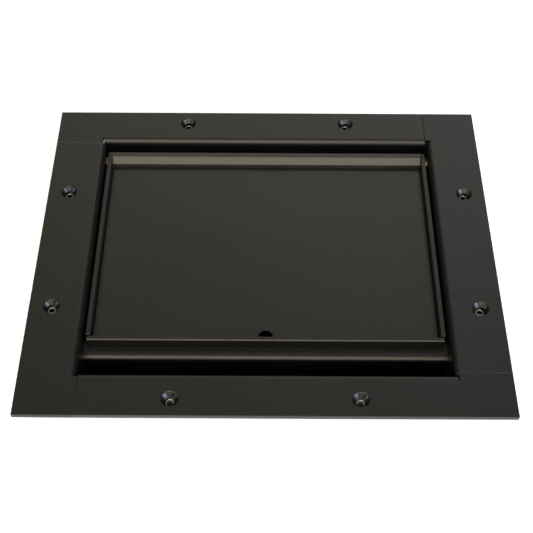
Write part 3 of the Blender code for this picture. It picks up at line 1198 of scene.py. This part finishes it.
@dataclass
class Lid:
    """The lid: a folded plate with a lip, two side flanges, a front rim and a hinge bar."""

    finishes: Finishes
    sheet: Sheet = Sheet()
    arris: float = 0.55 * MM
    back_arris: float = 0.6 * MM
    rim_front: float = 1.7 * MM
    rim_back: float = 0.4 * MM
    lift_hole: float = 4.5 * MM
    lift_hole_ease: float = 0.35 * MM
    lift_hole_gap: float = 0.3 * MM
    notch_corner: float = 0.8 * MM
    chamfer_drop: float = 4.0 * MM
    ledge: float = 4.0 * MM
    shoulder: float = 1.2 * MM
    tap_radius: float = 2.3 * MM
    tap_depth: float = 9.3 * MM
    bore_radius: float = 2.7 * MM
    bar_seam: float = 0.28 * MM
    bar_foot: float = 0.3 * MM

    def __post_init__(self) -> None:
        """Take the lid's places from the CAD nodes."""
        self.plate_low, self.plate_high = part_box("lid_plate")
        self.bar_low, self.bar_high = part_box("lid_hinge_bar")
        self.rim_low, self.rim_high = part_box("lid_front_rim")
        low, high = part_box("pivot_screw_right")
        self.pivot_y = (low.y + high.y) / 2
        self.pivot_z = (low.z + high.z) / 2

    def build(self) -> None:
        """Build the lid's five sheet and bar pieces."""
        self.build_plate()
        self.build_rim()
        self.build_hinge_bar()
        for side in Side:
            self.build_side(side)

    def build_plate(self) -> None:
        """Cut the tray floor, notch it for the side flanges and fold its lip."""
        sheet = self.sheet
        floor_top = self.plate_high.z
        inner = self.bar_high.x
        outer = self.plate_high.x
        shoulder_y = self.rim_high.y
        back = self.plate_high.y
        bend_line = self.plate_low.y + sheet.bend_radius
        foot = bend_line - sheet.arc - (floor_top - self.plate_low.z - sheet.bend_radius)
        outline = (
            (-inner, back),
            (-inner, shoulder_y),
            (-outer, shoulder_y),
            (-outer, foot),
            (outer, foot),
            (outer, shoulder_y),
            (inner, shoulder_y),
            (inner, back),
        )
        roundings = ((2, self.notch_corner, 4), (5, self.notch_corner, 4))
        plate = Shape.blank(outline, sheet.thickness, roundings)
        plate.ease(sheet.arris, is_level)
        plate.slice(1, sheet.bend_lines(bend_line))
        middle = (0.0, shoulder_y + self.lift_hole_gap + self.lift_hole)
        ease = self.lift_hole_ease
        hole = Shape.eased_hole(middle, self.lift_hole, sheet.thickness, ease, 4)
        plate.combined([hole], "DIFFERENCE")
        plate.bend(sheet.fold(bend_line))
        plate.turn(Matrix.Translation((0.0, 0.0, floor_top)))
        plate.finish("tray_plate", Body.LID, self.finishes.coat, "black_steel", ["lid_plate"])

    def build_rim(self) -> None:
        """Round the bar that closes the tray in front."""
        low, high = self.rim_low, self.rim_high
        rim = Shape.box(low, high)
        rim.ease(
            self.rim_front,
            lambda edge: all(
                abs(vert.co.y - low.y) + abs(vert.co.z - high.z) < TOUCHING for vert in edge.verts
            ),
            steps=8,
        )
        rim.ease(self.rim_back, steps=4)
        rim.finish("front_rim_bar", Body.LID, self.finishes.coat, "black_steel", ["lid_front_rim"])

    def build_hinge_bar(self) -> None:
        """Plane the back bar's sloping face and tap its ends for the pivots."""
        low, high = self.bar_low, self.bar_high
        ends = (low.x - self.bar_seam, high.x + self.bar_seam)
        outline = (
            (high.y, low.z),
            (high.y, high.z),
            (high.y - self.ledge, high.z),
            (low.y, high.z - self.chamfer_drop),
            (low.y, low.z),
        )
        roundings = (
            (0, self.bar_foot, 3),
            (1, self.back_arris, 6),
            (2, self.shoulder, 8),
            (3, self.bar_foot, 4),
        )
        bar = Shape.prism(outline, *ends, roundings)
        taps = [
            Shape.turned(
                (
                    (0.0, CLEAR),
                    (self.tap_radius, CLEAR),
                    (self.tap_radius, -self.tap_depth),
                    (0.0, -self.tap_depth - self.tap_radius * 0.6),
                ),
                (side.value * ends[1], self.pivot_y, self.pivot_z),
                side.axis,
            )
            for side in Side
        ]
        bar.combined(taps, "DIFFERENCE")
        bar.finish("hinge_bar", Body.LID, self.finishes.coat, "black_steel", ["lid_hinge_bar"])

    def build_side(self, side: Side) -> None:
        """Round one upright side flange and bore it for its pivot screw.

        Args:
            side: Which flange.
        """
        node = f"lid_side_{side.word}"
        low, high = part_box(node)
        inner = low.x if side is Side.RIGHT else high.x
        flange = Shape.box(low, high).slice(1, [self.bar_low.y + 1.0 * MM])
        flange.ease(
            self.arris,
            lambda edge: not all(
                abs(vert.co.x - inner) < TOUCHING and vert.co.y > self.bar_low.y
                for vert in edge.verts
            ),
            steps=4,
        )
        thick = high.x - low.x
        bore = Shape.turned(
            (
                (0.0, -thick),
                (self.bore_radius, -thick),
                (self.bore_radius, thick),
                (0.0, thick),
            ),
            ((low.x + high.x) / 2, self.pivot_y, self.pivot_z),
            side.axis,
        )
        flange.combined([bore], "DIFFERENCE")
        flange.finish(
            f"side_flange_{side.word}", Body.LID, self.finishes.coat, "black_steel", [node]
        )


@dataclass
class Pivots:
    """On each side a flanged bush in the frame, and a shoulder screw and washer on the lid."""

    finishes: Finishes
    shoulder_radius: float = 2.4 * MM
    clearance: float = 0.2 * MM
    bush_radius: float = 3.7 * MM
    flange_radius: float = 5.2 * MM
    washer_radius: float = 5.0 * MM
    head_radius: float = 4.5 * MM
    head_height: float = 2.5 * MM
    thread_radius: float = 2.0 * MM
    thread_length: float = 9.0 * MM
    thread_pitch: float = 0.8 * MM
    socket_radius: float = 1.7 * MM
    socket_depth: float = 1.5 * MM
    bush_gap: float = 0.05 * MM
    bush_ease: float = 0.2 * MM
    washer_clearance: float = 0.3 * MM
    washer_ease: float = 0.12 * MM
    head_ease: float = 0.6 * MM
    screw_ease: float = 0.2 * MM
    # The thread's depth, and where a turn's crest starts, how wide it is and where the root starts.
    thread_depth: float = 0.24 * MM
    crest_start: float = 0.25
    crest_width: float = 0.2
    root_start: float = 0.5

    def build(self) -> None:
        """Build both pivots."""
        for side in Side:
            self.build_bush(side)
            self.build_washer(side)
            self.build_screw(side)

    def centre(self, side: Side) -> Vector:
        """A point on the pivot axis, in the middle of the hatch."""
        low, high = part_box(f"pivot_bush_{side.word}")
        return Vector((0.0, (low.y + high.y) / 2, (low.z + high.z) / 2))

    def reach(self, node: str) -> tuple[float, float]:
        """How far from the hatch's middle a node starts and ends."""
        low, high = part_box(node)
        near, far = sorted((abs(low.x), abs(high.x)))
        return near, far

    def build_bush(self, side: Side) -> None:
        """Turn the flanged brass bush.

        Args:
            side: Which pivot.
        """
        node = f"pivot_bush_{side.word}"
        near, far = self.reach(node)
        wall_face = abs(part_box(f"frame_rail_{side.word}")[0 if side is Side.RIGHT else 1].x)
        face = wall_face - self.bush_gap
        bore = self.shoulder_radius + self.clearance
        profile = (
            (bore, near),
            (self.flange_radius, near),
            (self.flange_radius, face),
            (self.bush_radius, face),
            (self.bush_radius, far),
            (bore, far),
        )
        ease = self.bush_ease
        roundings = ((0, ease, 2), (1, ease, 3), (2, ease, 2), (4, ease, 2), (5, ease, 2))
        bush = Shape.turned(profile, self.centre(side), side.axis, roundings)
        bush.finish(f"bush_{side.word}", Body.FRAME, self.finishes.brass, "brass", [node])

    def build_washer(self, side: Side) -> None:
        """Turn the thrust washer.

        Args:
            side: Which pivot.
        """
        node = f"thrust_washer_{side.word}"
        near, far = self.reach(node)
        inner = self.shoulder_radius + self.washer_clearance
        profile = (
            (inner, near),
            (self.washer_radius, near),
            (self.washer_radius, far),
            (inner, far),
        )
        roundings = tuple((number, self.washer_ease, 2) for number in range(len(profile)))
        washer = Shape.turned(profile, self.centre(side), side.axis, roundings)
        washer.finish(f"washer_{side.word}", Body.LID, self.finishes.zinc, "zinc_steel", [node])

    def build_screw(self, side: Side) -> None:
        """Turn the shoulder screw with its thread, and press its hexagon socket.

        Args:
            side: Which pivot.
        """
        node = f"pivot_screw_{side.word}"
        near, far = self.reach(node)
        flange_low, flange_high = self.reach(f"lid_side_{side.word}")
        neck = flange_low + (flange_high - flange_low) * 0.02
        head = far - self.head_height
        pitch = self.thread_pitch
        root = self.thread_radius - self.thread_depth
        profile: list[Point2] = [(0.0, near), (root, near)]
        turns = int(self.thread_length / pitch)
        for number in range(turns):
            start = near + (number + self.crest_start) * pitch
            profile.append((self.thread_radius, start))
            profile.append((self.thread_radius, start + pitch * self.crest_width))
            profile.append((root, start + pitch * self.root_start))
        profile += [
            (root, neck),
            (self.shoulder_radius, neck),
            (self.shoulder_radius, head),
            (self.head_radius, head),
            (self.head_radius, far),
            (0.0, far),
        ]
        last = len(profile) - 1
        ease = self.screw_ease
        roundings = ((last - 1, self.head_ease, 5), (last - 2, ease, 2), (last - 4, ease, 2))
        screw = Shape.turned(profile, self.centre(side), side.axis, roundings)
        socket = Shape()
        bmesh.ops.create_cone(
            socket.bm,
            cap_ends=True,
            segments=6,
            radius1=self.socket_radius,
            radius2=self.socket_radius,
            depth=self.socket_depth * 2,
        )
        outer_face = self.centre(side) + Vector((side.value * far, 0.0, 0.0))
        socket.turn(Matrix.Translation(outer_face) @ TURN_AXES[side.axis])
        screw.combined([socket], "DIFFERENCE")
        screw.finish(
            f"shoulder_screw_{side.word}", Body.LID, self.finishes.zinc, "zinc_steel", [node]
        )


@dataclass
class Rests:
    """A bracket on each side wall with a push-in rubber pad under the lid's front corner."""

    finishes: Finishes
    sheet: Sheet = Sheet(2.5 * MM, 3.5 * MM, 0.3 * MM, 10)
    stem_radius: float = 1.6 * MM
    barb_radius: float = 2.4 * MM
    barb_height: float = 1.8 * MM
    pad_height: float = 2.5 * MM
    bracket_corner: float = 2.0 * MM
    hole_clearance: float = 0.2 * MM
    hole_reach: float = 4.0 * MM
    crown_ease: float = 0.8 * MM
    pad_ease: float = 0.3 * MM
    tip_ease: float = 0.4 * MM
    tip_share: float = 0.8

    def build(self) -> None:
        """Build both rests."""
        for side in Side:
            self.build_bracket(side)
            self.build_pad(side)

    def build_bracket(self, side: Side) -> None:
        """Fold one bracket and punch its hole.

        Args:
            side: Which bracket.
        """
        node = f"rest_bracket_{side.word}"
        low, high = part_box(node)
        half = (high.y - low.y) / 2
        reach = high.x - low.x
        drop = high.z - low.z
        bend_line = self.sheet.bend_radius
        foot = bend_line - self.sheet.arc - (drop - self.sheet.bend_radius)
        outline = ((-half, reach), (-half, foot), (half, foot), (half, reach))
        roundings = tuple((number, self.bracket_corner, 6) for number in range(len(outline)))
        bracket = Shape.blank(outline, self.sheet.thickness, roundings)
        bracket.ease(self.sheet.arris, is_level)
        bracket.slice(1, self.sheet.bend_lines(bend_line))
        pad_low, pad_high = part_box(f"rest_pad_{side.word}")
        pad_x = abs((pad_low.x + pad_high.x) / 2)
        wall = max(abs(low.x), abs(high.x))
        radius = self.stem_radius + self.hole_clearance
        foot = -self.hole_reach
        profile = ((0.0, CLEAR), (radius, CLEAR), (radius, foot), (0.0, foot))
        hole = Shape.turned(profile, (0.0, wall - pad_x, 0.0), sides=32)
        bracket.combined([hole], "DIFFERENCE")
        bracket.bend(self.sheet.fold(bend_line))
        middle = Vector((side.value * wall, (low.y + high.y) / 2, high.z))
        turn = Matrix.Rotation(side.value * QUARTER, 4, "Z")
        bracket.turn(Matrix.Translation(middle) @ turn)
        bracket.finish(
            f"lid_rest_{side.word}", Body.FRAME, self.finishes.coat, "black_steel", [node]
        )

    def build_pad(self, side: Side) -> None:
        """Mould one push-in pad.

        Args:
            side: Which pad.
        """
        node = f"rest_pad_{side.word}"
        low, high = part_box(node)
        centre = ((low.x + high.x) / 2, (low.y + high.y) / 2, 0.0)
        radius = (high.x - low.x) / 2
        pad_foot = high.z - self.pad_height
        barb_top = low.z + self.barb_height
        profile = (
            (0.0, high.z),
            (radius, high.z),
            (radius, pad_foot),
            (self.stem_radius, pad_foot),
            (self.stem_radius, barb_top),
            (self.barb_radius, barb_top),
            (self.stem_radius * self.tip_share, low.z),
            (0.0, low.z),
        )
        roundings = (
            (1, self.crown_ease, 5),
            (2, self.pad_ease, 3),
            (5, self.pad_ease, 3),
            (6, self.tip_ease, 3),
        )
        pad = Shape.turned(profile, centre, roundings=roundings)
        pad.finish(f"bumper_{side.word}", Body.FRAME, self.finishes.rubber, "rubber", [node])


@dataclass(frozen=True)
class SoftBox:
    """A rectangular soft light that faces a point over the hatch."""

    name: str
    azimuth: float
    elevation: float
    distance: float
    width: float
    height: float
    radiance: float
    colour: str

    def build(self, target: Vector) -> None:
        """Hang the light.

        Args:
            target: The point that it faces.
        """
        data = bpy.data.lights.new(self.name, "AREA")
        data.shape = "RECTANGLE"
        data.size = self.width
        data.size_y = self.height
        data.energy = self.radiance * math.pi * self.width * self.height
        data.color = to_linear(self.colour)[:3]
        light = bpy.data.objects.new(self.name, data)
        turn = math.radians(self.azimuth)
        rise = math.radians(self.elevation)
        away = Vector(
            (math.sin(turn) * math.cos(rise), -math.cos(turn) * math.cos(rise), math.sin(rise))
        )
        light.location = target + away * self.distance
        light.rotation_euler = away.to_track_quat("Z", "Y").to_euler()
        bpy.context.scene.collection.objects.link(light)


@dataclass
class Studio:
    """A pale floor with painted shade under the hatch, a big soft light over the camera, two low
    windows and a sweep all round.
    """

    floor_size: float = 8.0
    camera_place: tuple[float, float, float] = (0.00035, -0.42255, 0.58437)
    camera_tilt: float = math.radians(90.0 - 53.31)
    camera_roll: float = math.radians(0.2915)
    focal_length: float = 69.50
    sensor: float = 36.0
    sweep_strength: float = 2.5
    lights: tuple[SoftBox, ...] = (
        SoftBox(
            "key_softbox",
            azimuth=-12.0,
            elevation=57.0,
            distance=1.6,
            width=1.7,
            height=1.92,
            radiance=4.5,
            colour="#ffeed2",
        ),
        SoftBox(
            "right_window",
            azimuth=60.0,
            elevation=22.0,
            distance=1.8,
            width=1.1,
            height=0.55,
            radiance=27.0,
            colour="#d2dfff",
        ),
        SoftBox(
            "left_window",
            azimuth=-76.0,
            elevation=17.0,
            distance=1.8,
            width=0.6,
            height=0.40,
            radiance=13.0,
            colour="#dde7ff",
        ),
    )
    aim_height: float = 0.03
    # Where the painted shade spots are aimed: this far down the screw holes, and at this offset from
    # the right back corner of the throat.
    bore_drop: float = 4.1 * MM
    corner_slot: Point2 = (-0.7 * MM, 2.0 * MM)
    # The sweep's brightness from level, or below it, to straight up.
    glow: tuple[tuple[float, Colour], ...] = (
        (0.0, grey(0.50)),
        (0.50, grey(0.45)),
        (0.64, grey(0.80)),
        (0.72, grey(1.05)),
        (0.80, grey(0.62)),
        (0.88, grey(0.30)),
        (0.95, grey(0.12)),
        (1.00, grey(0.50)),
    )
    # Its tint from left to right, over the middle `tint_reach` of the way on each side.
    tint_reach: float = 0.60
    tint: tuple[tuple[float, Colour], ...] = (
        (0.08, grey(0.20)),
        (0.18, grey(0.34)),
        (0.27, (0.64, 0.64, 0.46, 1.0)),
        (0.50, (0.88, 0.87, 0.74, 1.0)),
        (0.73, grey(0.98)),
        (0.82, grey(0.38)),
        (0.92, grey(0.20)),
    )

    def build(self) -> None:
        """Make the floor, the lights, the sweep's glow and the camera."""
        self.build_floor()
        self.build_sweep()
        for light in self.lights:
            light.build(Vector((0.0, 0.0, self.aim_height)))
        self.build_camera()

    def build_floor(self) -> None:
        """Lay the floor, with painted shade under the hatch and under the holes."""
        shape = Shape()
        bmesh.ops.create_grid(shape.bm, x_segments=1, y_segments=1, size=self.floor_size / 2)
        floor = shape.to_object("studio_floor")
        floor.data.materials.append(PaleFloor(spots=self.under_holes()).make())

    def under_holes(self) -> tuple[Point2, ...]:
        """Find where to paint shade spots: where the back and side screw holes and the right back
        corner look on the floor from the camera.

        Returns:
            The places of the painted shade spots on the floor.
        """
        low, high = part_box("frame_rail_right")
        back = high.y - HatchFrame.inset_wide
        side = high.x - HatchFrame.inset_deep
        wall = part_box("frame_rail_back")[0].y
        gaps = [(low.x + self.corner_slot[0], wall + self.corner_slot[1])]
        for way in (-1.0, 1.0):
            gaps.append((way * HatchFrame.spacing_wide / 2, back))
            gaps.append((way * side, HatchFrame.spacing_deep / 2))
            gaps.append((way * side, -HatchFrame.spacing_deep / 2))
        # Each painted shade spot lies where the line from the camera through a hole meets the floor.
        lens = Vector(self.camera_place)
        places = []
        for x, y in gaps:
            line = Vector((x, y, high.z - self.bore_drop)) - lens
            spot = lens - line * (lens.z / line.z)
            places.append((spot.x, spot.y))
        return tuple(places)

    def build_sweep(self) -> None:
        """Light the surroundings: bright before and behind at mid height, dim at the sides."""
        world = bpy.data.worlds.new("studio_sweep")
        bpy.context.scene.world = world
        world.use_nodes = True
        tree = world.node_tree
        direction = add_node(tree, "TexCoord").outputs["Generated"]
        parts = add_node(tree, "SeparateXYZ", inputs={"Vector": direction}).outputs
        glow = add_ramp(tree, parts["Z"], self.glow)
        across = add_range(tree, parts["X"], (-self.tint_reach, self.tint_reach))
        sweep = add_mix(tree, 1.0, glow, add_ramp(tree, across, self.tint), "MULTIPLY")
        background = tree.nodes["Background"]
        tree.links.new(sweep, background.inputs["Color"])
        background.inputs["Strength"].default_value = self.sweep_strength

    def build_camera(self) -> None:
        """Place the camera in front of the hatch, looking steeply down."""
        data = bpy.data.cameras.new("camera")
        data.lens = self.focal_length
        data.sensor_width = self.sensor
        data.clip_start = 0.05
        data.clip_end = 50.0
        camera = bpy.data.objects.new("camera", data)
        tilt = Matrix.Rotation(self.camera_tilt, 4, "X")
        roll = Matrix.Rotation(self.camera_roll, 4, "Z")
        camera.matrix_world = Matrix.Translation(self.camera_place) @ tilt @ roll
        bpy.context.scene.collection.objects.link(camera)
        bpy.context.scene.camera = camera
        bpy.context.scene.view_settings.view_transform = "Standard"


def main() -> None:
    """Build the finishes, the hatch and its studio."""
    logging.basicConfig(level=logging.INFO, format="%(message)s")
    finishes = Finishes(
        coat=PowderCoat().make(),
        brass=TurnedBrass().make(),
        zinc=ZincPlate().make(),
        rubber=MouldedRubber().make(),
    )
    HatchFrame(finishes).build()
    Lid(finishes).build()
    Pivots(finishes).build()
    Rests(finishes).build()
    Studio().build()


if __name__ == "__main__":
    main()
